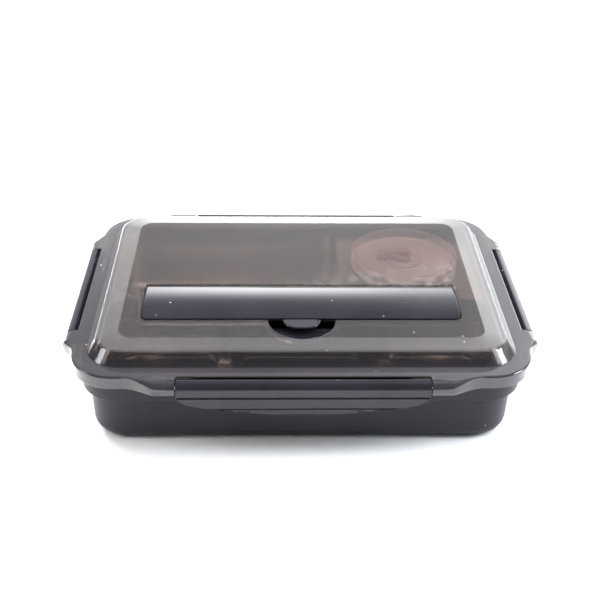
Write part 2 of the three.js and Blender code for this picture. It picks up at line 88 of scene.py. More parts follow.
STEEL = 0.8
TRAY_TOP, TRAY_BOTTOM, TRAY_EDGE = 48.7, 5.5, 9.3
BOWL_X, BOWL_Y, BOWL_RIM, BOWL_WALL, BOWL_FOOT, BOWL_BOTTOM = 72.5, 38.5, 39, 35.4, 24, 7.2
COMPARTMENTS = [((-124, -49), (-86.8, -5)), ((-43, 46), (-86.8, -5)), ((52, 124), (-86.8, -5)),
                ((-124, 28), (1, 86.8))]         # the x span and the y span of each
COMPARTMENT_CORNER, COMPARTMENT_LEAN, COMPARTMENT_FILLET = 14, 3, 5
LID_R, LID_SKIRT, BOWL_LID_TOP, BOWL_LID_THICK = 36.6, 32.7, 54.2, 1.2       # the bowl's lid
RING_IN, RING_OUT, HOLE, BUTTON, TAB = 8.8, 12.9, 2.7, 5.2, 19                # its raised ring and its plug
LID_SEAL_IN, LID_SEAL_OUT, LID_SEAL_LOW, LID_SEAL_HIGH = 9.7, 6.4, 50.5, 52.5
SOUP_SEAL_LOW, SOUP_SEAL_HIGH = 46.6, 49.3

# each side's turn about Z, the flange's reach there, and its latch
SIDES = {"front": (0, FLANGE_Y, FRONT_LATCH), "right": (90, FLANGE_X, SIDE_LATCH),
         "back": (180, FLANGE_Y, FRONT_LATCH), "left": (-90, FLANGE_X, SIDE_LATCH)}


# ---- mesh helpers: everything is drawn in millimetres and stored in metres ----
def mesh_object(name, points, faces):
    mesh = bpy.data.meshes.new(name)
    mesh.from_pydata([(x * MM, y * MM, z * MM) for x, y, z in points], [], faces)
    mesh.validate()
    obj = bpy.data.objects.new(name, mesh)
    bpy.context.scene.collection.objects.link(obj)
    return obj


def rounded_rect(half_x, half_y, radius, steps=CORNER_STEPS, cx=0.0, cy=0.0):
    points = []
    for corner in range(4):
        sx = 1 if corner in (0, 3) else -1
        sy = 1 if corner < 2 else -1
        for i in range(steps + 1):
            angle = (corner + i / steps) * math.pi / 2
            points.append((cx + sx * (half_x - radius) + radius * math.cos(angle),
                           cy + sy * (half_y - radius) + radius * math.sin(angle)))
    return points


def ring(inset, z):
    """The box's own outline at an inset from the lid flange, lifted to z."""
    outline = rounded_rect(FLANGE_X - inset, FLANGE_Y - inset, FLANGE_CORNER - CORNER_EASE * inset)
    return [(x, y, z) for x, y in outline]


def loft(name, rings, loop=False):
    """A closed skin through outlines with equal point counts, capped at both ends unless it loops."""
    count = len(rings[0])
    faces = []
    for r in range(len(rings) if loop else len(rings) - 1):
        low, high = r * count, (r + 1) % len(rings) * count
        for i in range(count):
            j = (i + 1) % count
            faces.append((low + i, low + j, high + j, high + i))
    if not loop:
        faces.append(tuple(reversed(range(count))))
        faces.append(tuple(range((len(rings) - 1) * count, len(rings) * count)))
    return mesh_object(name, [p for outline in rings for p in outline], faces)


def rounded(points, closed=False, steps=4):
    """A polyline of (a, b, radius) with each corner turned into an arc."""
    out = []
    count = len(points)
    for i, (a, b, radius) in enumerate(points):
        if radius <= 0 or (not closed and i in (0, count - 1)):
            out.append((a, b))
            continue
        here = Vector((a, b))
        before = Vector(points[i - 1][:2]) - here
        after = Vector(points[(i + 1) % count][:2]) - here
        half = before.angle(after) / 2
        reach = min(radius / math.tan(half), before.length * 0.49, after.length * 0.49)
        radius = reach * math.tan(half)
        centre = here + (before.normalized() + after.normalized()).normalized() * (radius / math.sin(half))
        start = here + before.normalized() * reach - centre
        end = here + after.normalized() * reach - centre
        sweep = start.angle_signed(end)
        for k in range(steps + 1):
            turn = -sweep * k / steps
            out.append(tuple(centre + Matrix.Rotation(turn, 2) @ start))
    return out


def arc(cx, cy, radius, start, end, steps):
    angles = [math.radians(start + (end - start) * i / steps) for i in range(steps + 1)]
    return [(cx + radius * math.cos(a), cy + radius * math.sin(a)) for a in angles]


def shell_of(name, profile):
    """A loft of the box's outline through a profile of (inset, z)."""
    return loft(name, [ring(inset, z) for inset, z in profile])


def stepped(name, outline, levels):
    """A loft of an outline, which is a function of its inset, through levels of (inset, z)."""
    return loft(name, [[(x, y, z) for x, y in outline(inset)] for inset, z in levels])


def cup_levels(floor, top, fillet):
    """Levels of a straight-walled cup with a rounded foot."""
    return [(fillet - dx, z) for dx, z in arc(0, floor + fillet, fillet, -90, 0, 6)] + [(0, top)]


def prism(name, outline, z0, z1):
    return loft(name, [[(x, y, z0) for x, y in outline], [(x, y, z1) for x, y in outline]])


def along_x(name, profile, x0, x1):
    """A (y, z) profile, counter-clockwise as seen from +X, swept from x0 to x1."""
    return loft(name, [[(x0, y, z) for y, z in profile], [(x1, y, z) for y, z in profile]])


def box(name, x0, x1, y0, y1, z0, z1):
    return along_x(name, [(y0, z0), (y1, z0), (y1, z1), (y0, z1)], x0, x1)


def rod(name, radius, x0, x1, y, z, sides=48, soft=0.0):
    circle = lambda r, x: [(x, y + r * math.cos(t), z + r * math.sin(t))
                           for t in (2 * math.pi * k / sides for k in range(sides))]
    if not soft:
        return loft(name, [circle(radius, x0), circle(radius, x1)])
    ends = [(radius - soft, 0.0), (radius - soft * 0.3, soft * 0.3), (radius, soft)]
    return loft(name, [circle(r, x0 + d) for r, d in ends] + [circle(r, x1 - d) for r, d in reversed(ends)])


def turned(name, profile, x, y, sides=96):
    """A closed (radius, z) profile turned about a vertical axis; points on the axis are shared."""
    bm = bmesh.new()
    rows = []
    for r, z in profile:
        if r < 1e-6:
            rows.append([bm.verts.new((x * MM, y * MM, z * MM))] * sides)
        else:
            rows.append([bm.verts.new(((x + r * math.cos(t)) * MM, (y + r * math.sin(t)) * MM, z * MM))
                         for t in (2 * math.pi * k / sides for k in range(sides))])
    for a, b in zip(rows, rows[1:]):
        for k in range(sides):
            corners = [a[k], a[(k + 1) % sides], b[(k + 1) % sides], b[k]]
            unique = list(dict.fromkeys(corners))
            if len(unique) > 2:
                bm.faces.new(unique)
    bmesh.ops.remove_doubles(bm, verts=bm.verts, dist=1e-7)
    bmesh.ops.recalc_face_normals(bm, faces=bm.faces)
    mesh = bpy.data.meshes.new(name)
    bm.to_mesh(mesh)
    bm.free()
    obj = bpy.data.objects.new(name, mesh)
    bpy.context.scene.collection.objects.link(obj)
    return obj


def apply_modifiers(obj):
    graph = bpy.context.evaluated_depsgraph_get()
    graph.update()
    mesh = bpy.data.meshes.new_from_object(obj.evaluated_get(graph))
    old = obj.data
    obj.modifiers.clear()
    obj.data = mesh
    bpy.data.meshes.remove(old)
    return obj


def combine(obj, others, operation):
    """Joins the other solids to obj, or cuts them out of it, and removes them."""
    for other in others:
        modifier = obj.modifiers.new("cut", "BOOLEAN")
        modifier.operation = operation
        modifier.solver = "MANIFOLD"
        modifier.object = other
    apply_modifiers(obj)
    for other in others:
        bpy.data.objects.remove(other)
    return obj


join = lambda obj, *others: combine(obj, others, "UNION")
cut = lambda obj, *others: combine(obj, others, "DIFFERENCE")


def common(obj, other):
    return combine(obj, [other], "INTERSECT")


def folds_back(vert):
    """True at a spike, where a face's outline runs out and back along one line with nothing in between."""
    if len(vert.link_edges) != 2:
        return False
    one, two = (edge.other_vert(vert).co - vert.co for edge in vert.link_edges)
    return one.angle(two) < math.radians(2)


def finish_edges(obj, width=0.0, angle=34, segments=3):
    """Cleans up after cuts and joins, rounds sharp edges if a width is given, and shades the piece smooth."""
    weld = 0.02
    bm = bmesh.new()
    bm.from_mesh(obj.data)
    bmesh.ops.remove_doubles(bm, verts=bm.verts, dist=weld * MM)
    bmesh.ops.dissolve_degenerate(bm, edges=bm.edges, dist=weld * MM)
    bmesh.ops.dissolve_limit(bm, angle_limit=math.radians(0.6), verts=bm.verts, edges=bm.edges)
    while folds := [v for v in bm.verts if folds_back(v)]:
        bmesh.ops.dissolve_verts(bm, verts=folds)
    bm.to_mesh(obj.data)
    bm.free()
    if width:
        bevel = obj.modifiers.new("soften", "BEVEL")
        bevel.width = width * MM
        bevel.segments = segments
        bevel.limit_method = "ANGLE"
        bevel.angle_limit = math.radians(angle)
        bevel.use_clamp_overlap = False
        bevel.miter_outer = "MITER_ARC"
        apply_modifiers(obj)
    return shade(obj)


def shade(obj, angle=40):
    obj.data.shade_smooth()
    obj.data.set_sharp_from_angle(angle=math.radians(angle))
    weighted = obj.modifiers.new("normals", "WEIGHTED_NORMAL")
    weighted.keep_sharp = True
    return obj


def to_side(obj, name):
    """Carries a piece drawn about the front latch's hinge axis to the hinge axis of one side."""
    turn, reach, _ = SIDES[name]
    place = Matrix.Rotation(math.radians(turn), 4, "Z") @ Matrix.Translation(
        (0, -(reach + HINGE_OUT) * MM, HINGE_Z * MM))
    obj.data.transform(place)
    return obj


def mirror_x(obj):
    obj.data.transform(Matrix.Diagonal((-1, 1, 1, 1)))
    obj.data.flip_normals()
    return obj


# ---- base ----
def make_base():
    foot = BASE_WALL + DRAFT
    inner = LEDGE_IN + DRAFT
    profile = [(RECESS_IN, RECESS_DEEP, 0), (RECESS_IN - 0.7, RECESS_DEEP, 0.4), (RECESS_IN - 1.7, 0, 0.6),
               (foot + 0.3, 0, FOOT_FILLET), (BASE_WALL, COLLAR_HIGH - 2, 0.5),
               (COLLAR + 1.7, COLLAR_HIGH - 2, 0.4), (COLLAR + 1.7, COLLAR_LOW + 0.6, 0.4),
               (COLLAR + 1, COLLAR_LOW, 0.35), (COLLAR, COLLAR_LOW, 0.9), (COLLAR, COLLAR_HIGH, 0.8),
               (RIM_OUT, COLLAR_HIGH, 0.4), (RIM_OUT, RIM_Z, 0.6), (RIM_IN, RIM_Z, 0.6),
               (RIM_IN, LEDGE_Z, 0.3), (LEDGE_IN, LEDGE_Z, 0.8),
               (inner, BASE_FLOOR, FOOT_FILLET - BASE_FLOOR), (inner + 30, BASE_FLOOR, 0)]
    base = shell_of("base", rounded(profile, steps=6))
    wall = HINGE_OUT + COLLAR
    low = CATCH_Z - HINGE_Z
    high = low + CATCH_TALL
    tip = wall - CATCH_OUT
    section = rounded([(wall + 0.6, low, 0), (wall + 0.6, high, 0), (wall - 1, high, 0.3),
                       (tip, low + 0.9, 0.5), (tip, low, 0.3)], closed=True, steps=3)
    ridges = [to_side(along_x("ridge", section[::-1], -latch["catch"], latch["catch"]), name)
              for name, (_, _, latch) in SIDES.items()]
    join(base, *ridges)
    return finish_edges(base)


# ---- lid ----
def make_lid():
    under = FLANGE_Z - LID_THICK
    rib = under - GROOVE_DEEP
    profile = [(LID_PANEL + 8, LID_TOP - LID_THICK, 0), (LID_WALL_TOP + 1.8, LID_TOP - LID_THICK - 0.3, 2.2),
               (LID_WALL_FOOT + 1.7, under, 0.9), (LID_WALL_FOOT + 1.4, rib, 0.3), (GROOVE_IN, rib, 0.3),
               (GROOVE_IN, under, 0.2), (GROOVE_OUT, under, 0.2), (GROOVE_OUT, rib, 0.2), (RIB_OUT, rib, 0.2),
               (RIB_OUT, under, 0.3), (SKIRT_WALL, under, 1), (SKIRT_WALL, SKIRT_Z, 0.3), (0, SKIRT_Z, 0.6),
               (0, FLANGE_Z, 1.4), (LID_WALL_FOOT - 0.4, FLANGE_Z, 0.6),
               (LID_WALL_TOP - 1.1, LID_TOP - 0.95, 3.0), (LID_PANEL, LID_TOP, 1.2),
               (LID_PANEL + 8, LID_TOP, 0)]
    lid = shell_of("lid", rounded(profile, steps=6))
    extras = []
    for name, (_, _, latch) in SIDES.items():
        for end in (-1, 1):
            extras.append(to_side(make_ear(latch, end), name))
    for end in (-1, 1):
        x0, x1 = sorted((end * OPENING["half"], end * (OPENING["half"] + 3.6)))
        extras.append(box("boss", x0, x1, PIVOT_Y - 2.7, OPENING["back"] - 0.3, PIVOT_Z - 2.3, LID_TOP - 0.5))
    join(lid, *extras)
    cuts = []
    for name, (_, _, latch) in SIDES.items():
        half = latch["half"] + EAR_GAP
        clear, wall, flare = BARREL + 0.4, 3.2, 0.45
        top = FLANGE_Z - HINGE_Z
        bend = math.degrees(math.acos(wall / clear))
        section = [(-20, -10), (clear, -10)] + arc(0, 0, clear, 0, bend, 10)
        section += arc(wall + flare, top - flare, flare, 180, 90, 4) + [(wall + flare, 10), (-20, 10)]
        cuts.append(to_side(along_x("room", section, -half, half), name))
    cut(lid, *cuts)
    cut(lid, *opening_cutters())
    cut(lid, rod("stub_hole", STUB_R + 0.3, -OPENING["half"] - 2.7, OPENING["half"] + 2.7, PIVOT_Y, PIVOT_Z))
    return finish_edges(lid)


def opening_cutters():
    """Cutters for the cutlery opening and the finger notch, flared at the top to leave round edges."""
    middle = (OPENING["back"] + OPENING["front"]) / 2
    depth = (OPENING["back"] - OPENING["front"]) / 2
    flare = 0.5
    levels = [(0, 55), (0, LID_TOP - flare)]
    levels += [(flare - flare * math.cos(a), LID_TOP - flare + flare * math.sin(a))
               for a in (math.pi / 2 * k / 4 for k in range(1, 5))] + [(flare, LID_TOP + 3)]
    half, corner, behind = OPENING["half"], OPENING["corner"], OPENING["back"] - 6
    slot = stepped("slot", lambda g: rounded_rect(half + g, depth + g, corner + g, 8, 0, middle), levels)
    square = stepped("square", lambda g: rounded_rect(half + g, 6, 0.4, 3, 0, behind + g), levels)
    notch = stepped("notch", lambda g: half_disk(NOTCH_RADIUS + g), levels)
    return slot, square, notch


def half_disk(radius):
    """The finger notch's outline: a half disk that runs on a little behind the opening's front edge."""
    behind = OPENING["front"] + 3
    return arc(0, OPENING["front"], radius, 180, 360, 48) + [(radius, behind), (-radius, behind)]


def make_ear(latch, end):
    """A round end that holds the pin, blending into a band that sweeps back to the flange."""
    start = latch["half"] + EAR_GAP
    round_end = start + 7
    edge = -HINGE_OUT
    low = SKIRT_Z - HINGE_Z
    high = FLANGE_Z - HINGE_Z

    def section(x, blend):
        out = edge + (BARREL - edge) * min(1, blend * 1.15)
        soft = blend ** 1.3
        curve = 0.7 + (BARREL - 0.7) * soft
        bottom = low + (-BARREL - low) * soft
        upper = [(out - curve * (1 - math.cos(a)), high - curve * (1 - math.sin(a)))
                 for a in (math.pi / 2 * k / 10 for k in range(11))]
        lower = [(out - curve * (1 - math.sin(a)), bottom + curve * (1 - math.cos(a)))
                 for a in (math.pi / 2 * k / 8 for k in range(9))]
        points = [(edge - 1.5, high), (edge - 1.5, low)] + lower + upper
        return [(x, -outward, up) for outward, up in reversed(points)]

    stations = [section(start + 5, 1)]
    steps = 36
    for i in range(steps + 1):
        t = i / steps
        x = round_end + (latch["ear_end"] - round_end) * t
        stations.append(section(x, (1 + math.cos(math.pi * t)) / 2))
    ear = loft("ear", stations)
    join(ear, rod("ear_end", BARREL, start, round_end, 0, 0, soft=0.35))
    join(ear, box("ear_web", start, round_end, 0, -edge + 1.5, low, high))
    cut(ear, rod("pin_hole", PIN + EAR_BORE, start - 1, latch["half"] + PIN_OVER + 0.3, 0, 0))
    return ear if end > 0 else mirror_x(ear)


# ---- latches and pins, drawn about the front latch's hinge axis ----
# heights at which the panel's face is drawn
PANEL_ROWS = [1, 0.2, -0.8, -1.8, -2.5, -2.9, -3.2, -3.5, -3.8, -4.1, -4.4, -4.7, -5, -5.3, -5.7, -6.5, -7.5,
              -8.5, -9.5, -10.5, -11.2, -11.6, -12, -12.4, -12.8, -13.1, -13.4, -13.7, -14, -14.4, -15, -15.6,
              -16.2, -16.8, -17.4, -17.8]
# how far out the face stands: (height, depth)
PANEL_FACE = [(1, 4.9), (-1, 5), (-2.6, 5.15), (-3.3, 5.2), (-3.8, 4.9), (-4.3, 4.35), (-4.8, 4.5),
              (-5.3, 4.85), (-6.5, 4.75), (-11.3, 4.45), (-12, 4.6), (-12.6, 5), (-13.2, 5), (-13.6, 4.5),
              (-14, 3.7), (-14.5, 3.4), (-18, 3.2)]
PANEL_FOOT = -17.8
PANEL_BACK = 1.4
PANEL_CORNER = 11
PANEL_BOW, PANEL_END = 6.9, 5.6      # how far the foot rises along the bow, and over each rounded end
LIP_OUT, LIP_TALL, LIP_FROM = 0.55, 0.7, -13.2       # a lip along the foot, where it lies below LIP_FROM


def face_depth(z):
    """How far the latch panel's face stands out at a height, eased between the listed points."""
    for (z0, d0), (z1, d1) in zip(PANEL_FACE, PANEL_FACE[1:]):
        if z >= z1:
            t = max(0, min(1, (z0 - z) / (z0 - z1)))
            return d0 + (d1 - d0) * t * t * (3 - 2 * t)
    return PANEL_FACE[-1][1]


def panel_foot(x, half):
    """Lower edge of the latch panel: a shallow bow with rounded ends."""
    side = abs(x)
    rise = PANEL_BOW * (side / (half - PANEL_CORNER + 0.8)) ** 1.6
    past = max(0, side - (half - PANEL_CORNER)) / PANEL_CORNER
    return min(-4.2, PANEL_FOOT + rise + PANEL_END * (1 - math.sqrt(max(0, 1 - past ** 2))))


def barrel_slot(half):
    """Cutter for the barrel's inner top, which leaves an open gap between the barrel and the flange."""
    top = (SLOT_FROM, BARREL)
    foot = (BARREL + 1, -BARREL)
    return along_x("slot", [top, foot, (BARREL + 1, BARREL + 1), (top[0], BARREL + 1)], -half - 1, half + 1)


def make_latch(name):
    latch = SIDES[name][2]
    half = latch["half"]
    steps = 90
    rings = []
    for i in range(steps + 1):
        x = half * math.sin(math.pi / 2 * (2 * i / steps - 1))
        foot = panel_foot(x, half)
        rows = [max(z, foot) for z in PANEL_ROWS]
        lip = LIP_OUT if foot < LIP_FROM else 0
        outer = [(x, -face_depth(z) - (lip if z < foot + LIP_TALL else 0), z) for z in rows]
        inner = [(x, -PANEL_BACK, z) for z in reversed(rows[:-1])]
        rings.append(outer + inner)
    panel = loft("latch_" + name + "_look", rings)
    bm = bmesh.new()
    bm.from_mesh(panel.data)
    bmesh.ops.remove_doubles(bm, verts=bm.verts, dist=1e-6)
    bmesh.ops.dissolve_degenerate(bm, edges=bm.edges, dist=1e-6)
    bmesh.ops.recalc_face_normals(bm, faces=bm.faces)
    bm.to_mesh(panel.data)
    bm.free()
    reach = HINGE_OUT + COLLAR - CATCH_OUT - HOOK_GAP
    top = CATCH_Z - HINGE_Z - HOOK_GAP
    root = -PANEL_BACK - 0.2
    hook = rounded([(root, top - HOOK_THICK, 0), (reach - 0.8, top - HOOK_THICK, 0.3),
                    (reach, top - 1.4, 0.5), (reach, top, 0.3), (root, top, 0)], steps=3)
    join(panel, rod("barrel", BARREL, -half, half, 0, 0, sides=72, soft=0.3),
         along_x("hook", hook, -latch["catch"] + 1, latch["catch"] - 1))
    cut(panel, rod("pin_hole", PIN + LATCH_BORE, -half - 1, half + 1, 0, 0), barrel_slot(half))
    finish_edges(panel)
    return to_side(panel, name)


def make_pin(name):
    reach = SIDES[name][2]["half"] + PIN_OVER
    pin = rod("hinge_pin_" + name + "_look", PIN, -reach, reach, 0, 0, sides=32, soft=0.35)
    return to_side(shade(pin), name)


def make_lid_seal():
    section = rounded([(LID_SEAL_IN, LID_SEAL_LOW, 0.4), (LID_SEAL_OUT, LID_SEAL_LOW, 0.4),
                       (LID_SEAL_OUT, LID_SEAL_HIGH, 0.5), (LID_SEAL_IN, LID_SEAL_HIGH, 0.5)],
                      closed=True, steps=5)
    return shade(loft("lid_seal_look", [ring(inset, z) for inset, z in section], loop=True))


# ---- cutlery compartment ----
def make_cutlery_tray():
    wall = TROUGH["wall"]
    middle = (TROUGH["back"] + TROUGH["front"]) / 2
    depth = (TROUGH["back"] - TROUGH["front"]) / 2
    lip = LID_TOP - LID_THICK - 0.3
    dish = NOTCH_RADIUS - 0.6

    def trough(grow, floor, top, fillet):
        outline = lambda inset: rounded_rect(TROUGH["half"] + grow - inset, depth + grow - inset,
                                             COVER["corner"] + grow - inset * 0.6, 8, 0, middle)
        return stepped("trough", outline, cup_levels(floor, top, fillet))

    def dish_solid(radius, floor, top, fillet):
        return stepped("dish", lambda inset: half_disk(radius - inset), cup_levels(floor, top, fillet))

    tray = trough(wall, TROUGH["floor"] - wall, lip, 2.4)
    brim = rounded_rect(TROUGH["half"] + 4, depth + 4, COVER["corner"] + 4, 8, 0, middle)
    join(tray, prism("brim", brim, lip - 1, lip), dish_solid(dish + wall, DISH_FLOOR - wall, lip, 3),
         prism("dish_brim", half_disk(dish + 3.4), lip - 1, lip))
    cut(tray, trough(0, TROUGH["floor"], ABOVE, 1.8))
    cut(tray, dish_solid(dish, DISH_FLOOR, ABOVE, 2.6))
    seat = box("seat", -110, 110, PIVOT_Y - 3, TROUGH["back"] + 4, PIVOT_Z - 2.6, ABOVE)
    cut(seat, box("keep", -TROUGH["half"] + 6, TROUGH["half"] - 6, -60, 0, 40, 80))
    cut(tray, seat)
    return finish_edges(tray, width=0.25)


def make_cover():
    edge, crown, thick = COVER["edge"], COVER["crown"], COVER["thick"]
    front = COVER["front"]
    to = front + 0.8
    steps = 28
    top = []
    for i in range(steps + 1):
        t = i / steps
        top.append((PIVOT_Y + (to - PIVOT_Y) * t, edge + (crown - edge) * 4 * t * (1 - t)))
    under = [(y, z - thick) for y, z in reversed(top)]
    nose = [(front + 0.25, edge - 0.25), (front, edge - 0.8), (front, edge - 2), (to - 0.4, edge - 2)]
    section = top + nose + under
    middle = (COVER["back"] + front) / 2
    depth = (COVER["back"] - front) / 2
    half = COVER["half"]
    cover = along_x("cutlery_cover_look", section[::-1], -half, half)
    join(cover, rod("knuckle", PIVOT_R, -half, half, PIVOT_Y, PIVOT_Z))
    # trimmed to its plan, which has round corners at the front and square ones at the hinge
    plan = prism("plan", rounded_rect(half, depth, COVER["corner"], 14, 0, middle), BELOW, ABOVE)
    join(plan, prism("square", rounded_rect(half, 6, 0.8, 4, 0, COVER["back"] - 6), BELOW, ABOVE))
    common(cover, plan)
    levels = [(0.3, edge - 2), (0, edge - 1.7), (0, edge - 0.9), (0.12, edge - 0.62), (0.4, edge - 0.5)]
    tab = stepped("tab", lambda s: rounded_rect(11.5 - s, 9.5 - s, 9 - s, 14, 0, front + 0.3), levels)
    join(cover, tab, rod("stubs", STUB_R, -half - 2.6, half + 2.6, PIVOT_Y, PIVOT_Z, sides=32, soft=0.25))
    return finish_edges(cover, width=0.45, angle=38, segments=4)


def make_chopstick(name, y):
    length, thick, tip = 188, 2.3, 1.1
    profile = [(0, 0), (thick - 0.5, 0), (thick - 0.15, 0.15), (thick, 0.6), (thick, 60)]
    profile += [(thick - 0.18, 60.4), (thick - 0.18, 61.4), (thick, 61.8), (thick, length * 0.35)]
    taper = lambda h: thick + (tip - thick) * (h - length * 0.35) / (length - 1 - length * 0.35)
    for k in range(5):
        h = length - 22 + 3.4 * k
        wide = taper(h)
        profile += [(wide, h), (wide - 0.14, h + 0.3), (wide - 0.14, h + 0.9), (wide, h + 1.2)]
    profile += [(tip, length - 1), (tip * 0.75, length - 0.3), (0, length)]
    stick = turned(name + "_look", profile, 0, 0, sides=32)
    stick.data.transform(Matrix.Translation((-length / 2 * MM, y * MM, (TROUGH["floor"] + 0.3 + thick) * MM))
                         @ Matrix.Rotation(math.pi / 2, 4, "Y"))
    return shade(stick, angle=30)


def make_spoon():
    length, bowl, width, depth, y = 184, 40, 22, 5.6, -40.6
    rim = TROUGH["floor"] + 0.3 + depth
    thick, lowered = 0.9, 0.25
    centre = length / 2 - bowl / 2
    neck, tail = centre - bowl / 2 + 1.6, -length / 2
    count = 24
    rings = []
    stations = 120
    for i in range(stations + 1):
        x = tail + 0.05 + (length - 0.1) * (0.5 - 0.5 * math.cos(math.pi * i / stations))
        u = max(0.0, 1 - ((x - centre) / (bowl / 2)) ** 2) if x > centre - bowl / 2 else 0.0
        cup = math.sqrt(u)
        along = (neck - x) / (neck - tail)
        handle = 2.7 + 2.9 * max(0, along) ** 1.3
        if along > 0:
            handle *= math.sqrt(max(0, 1 - max(0, (tail + 5 - x) / 5) ** 2))
        half = max(handle if x < neck + 4 else 0, width / 2 * cup, 0.05)
        dip = 3.9 * min(1, max(0, (neck - x) / 60)) ** 0.8
        row = []
        for k in range(count + 1):
            s = -1 + 2 * k / count
            sink = (depth - lowered - thick) * cup * math.sqrt(max(0, 1 - s * s)) if x > neck - 2 else 0
            row.append((x, y + half * s, rim - dip - lowered - sink))
        low = [(px, py, pz - thick * (0.35 + 0.65 * (1 - abs(2 * k / count - 1) ** 3)))
               for k, (px, py, pz) in enumerate(row)]
        rings.append(row + low[::-1])
    return shade(loft("spoon_look", rings), angle=60)


# ---- steel tray and soup bowl ----
def compartment(xs, ys, shrink, bottom, top, flare=0.0):
    lean, fillet, steps = COMPARTMENT_LEAN, COMPARTMENT_FILLET, 6
    centre_x, centre_y = (xs[0] + xs[1]) / 2, (ys[0] + ys[1]) / 2
    half_x, half_y = (xs[1] - xs[0]) / 2 - shrink, (ys[1] - ys[0]) / 2 - shrink
    levels = [(lean + fillet - dx, z) for dx, z in arc(0, bottom + fillet, fillet, -90, -8, steps)]
    if flare:
        levels += [(flare * (math.cos(a) - 1) + 0.05, top - flare + flare * math.sin(a) - 1)
                   for a in (math.pi / 2 * k / 4 for k in range(5))]
    levels.append((-flare, top))
    corner = COMPARTMENT_CORNER - shrink
    outline = lambda inset: rounded_rect(half_x - inset, half_y - inset, corner - inset / 2, 10,
                                         centre_x, centre_y)
    return stepped("cup", outline, levels)


def make_tray():
    floor = BOWL_BOTTOM - 1

    def well(grow, low, top):
        profile = [(0, low), (BOWL_FOOT + 1 + grow, low), (BOWL_FOOT + 3 + grow, low + 0.6),
                   (BOWL_FOOT + 7.5 + grow, low + 5), (BOWL_WALL + 0.5 + grow, top), (0, top)]
        return turned("well", profile, BOWL_X, BOWL_Y)

    rim = rounded([(TRAY_EDGE + 2, TRAY_TOP - STEEL, 0), (TRAY_EDGE, TRAY_TOP - STEEL, 0.38),
                   (TRAY_EDGE, TRAY_TOP, 0.38), (TRAY_EDGE + 2, TRAY_TOP, 0)])
    tray = shell_of("inner_tray_look", rim)
    outer = [compartment(*c, 0, TRAY_BOTTOM, TRAY_TOP - 0.2) for c in COMPARTMENTS]
    outer.append(well(STEEL, floor - STEEL, TRAY_TOP - 0.2))
    inner = [compartment(*c, STEEL, TRAY_BOTTOM + STEEL, TRAY_TOP + 1, flare=0.8) for c in COMPARTMENTS]
    join(tray, *outer)
    cut(tray, *inner, well(0, floor, TRAY_TOP + 1))
    return finish_edges(tray)


def make_bowl():
    top = TRAY_TOP + 0.3 + STEEL
    outside = [(0, BOWL_BOTTOM + 0.5, 0), (BOWL_FOOT - 6, BOWL_BOTTOM + 0.5, 0.4),
               (BOWL_FOOT - 5, BOWL_BOTTOM, 0.4), (BOWL_FOOT, BOWL_BOTTOM, 3),
               (BOWL_FOOT + 6, BOWL_BOTTOM + 4, 12), (BOWL_WALL - 0.8, top - 8, 12),
               (BOWL_WALL, top - STEEL, 0.8), (BOWL_RIM, top - STEEL, 0.4), (BOWL_RIM, top, 0.4)]
    inside = [(BOWL_WALL - STEEL, top, 1), (BOWL_WALL - 0.8 - STEEL, top - 8, 12),
              (BOWL_FOOT + 5.4, BOWL_BOTTOM + 4 + STEEL, 12), (BOWL_FOOT - 0.5, BOWL_BOTTOM + STEEL, 3),
              (0, BOWL_BOTTOM + STEEL + 0.4, 0)]
    bowl = turned("soup_bowl_look", rounded(outside + inside, steps=6), BOWL_X, BOWL_Y, sides=128)
    return shade(bowl, angle=50)


def make_bowl_lid():
    thick = BOWL_LID_THICK
    seat = TRAY_TOP + STEEL + 0.6
    top = BOWL_LID_TOP
    profile = [(HOLE, top - thick, 0.2), (LID_SKIRT - thick, top - thick, 1),
               (LID_SKIRT - thick, seat - 4.5, 0.3), (LID_SKIRT, seat - 4.5, 0.3), (LID_SKIRT, seat, 0.2),
               (LID_R, seat, 0.3), (LID_R, seat + 1.4, 0.5), (LID_SKIRT + 0.9, seat + 1.4, 0.5),
               (LID_SKIRT - 0.3, top, 1.4), (RING_OUT + 12, top, 0.3), (RING_OUT + 11.7, top - 0.25, 0.3),
               (RING_OUT, top - 0.25, 0.4), (RING_OUT - 0.3, top + 1, 0.5), (RING_IN + 0.3, top + 1, 0.5),
               (RING_IN, top, 0.4), (HOLE, top, 0.2)]
    points = rounded(profile, closed=True, steps=4)
    return shade(turned("soup_bowl_lid_look", points + points[:1], BOWL_X, BOWL_Y, sides=128), angle=50)


def make_bowl_seal():
    inner = LID_SKIRT + 0.3
    section = rounded([(inner, SOUP_SEAL_LOW, 0.3), (inner + 1, SOUP_SEAL_LOW, 0.4),
                       (inner + 1, SOUP_SEAL_HIGH, 0.4), (inner, SOUP_SEAL_HIGH, 0.3)], closed=True)
    return shade(turned("soup_lid_seal_look", section + section[:1], BOWL_X, BOWL_Y), angle=60)


def make_plug():
    top = BOWL_LID_TOP
    profile = [(0, top - 3, 0), (HOLE + 0.7, top - 3, 0.4), (HOLE + 0.9, top - 1.6, 0.3),
               (HOLE - 0.4, top - 1.5, 0.1), (HOLE - 0.4, top + 0.3, 0.1), (BUTTON, top + 0.3, 0.3),
               (BUTTON, top + 2.2, 0.7), (BUTTON - 2, top + 2.2, 0.6), (BUTTON - 2.6, top + 1.7, 0.4),
               (0, top + 1.7, 0)]
    plug = turned("soup_lid_plug_look", rounded(profile, steps=4), BOWL_X, BOWL_Y, sides=64)
    length = TAB / 2
    outline = lambda s: rounded_rect(length - s, 3 - s, 2.6 - s, 8, BOWL_X - length, BOWL_Y)
    levels = [(0.2, top + 1.3), (0, top + 1.5), (0, top + 1.9), (0.25, top + 2.1)]
    join(plug, stepped("strip", outline, levels))
    return finish_edges(plug)


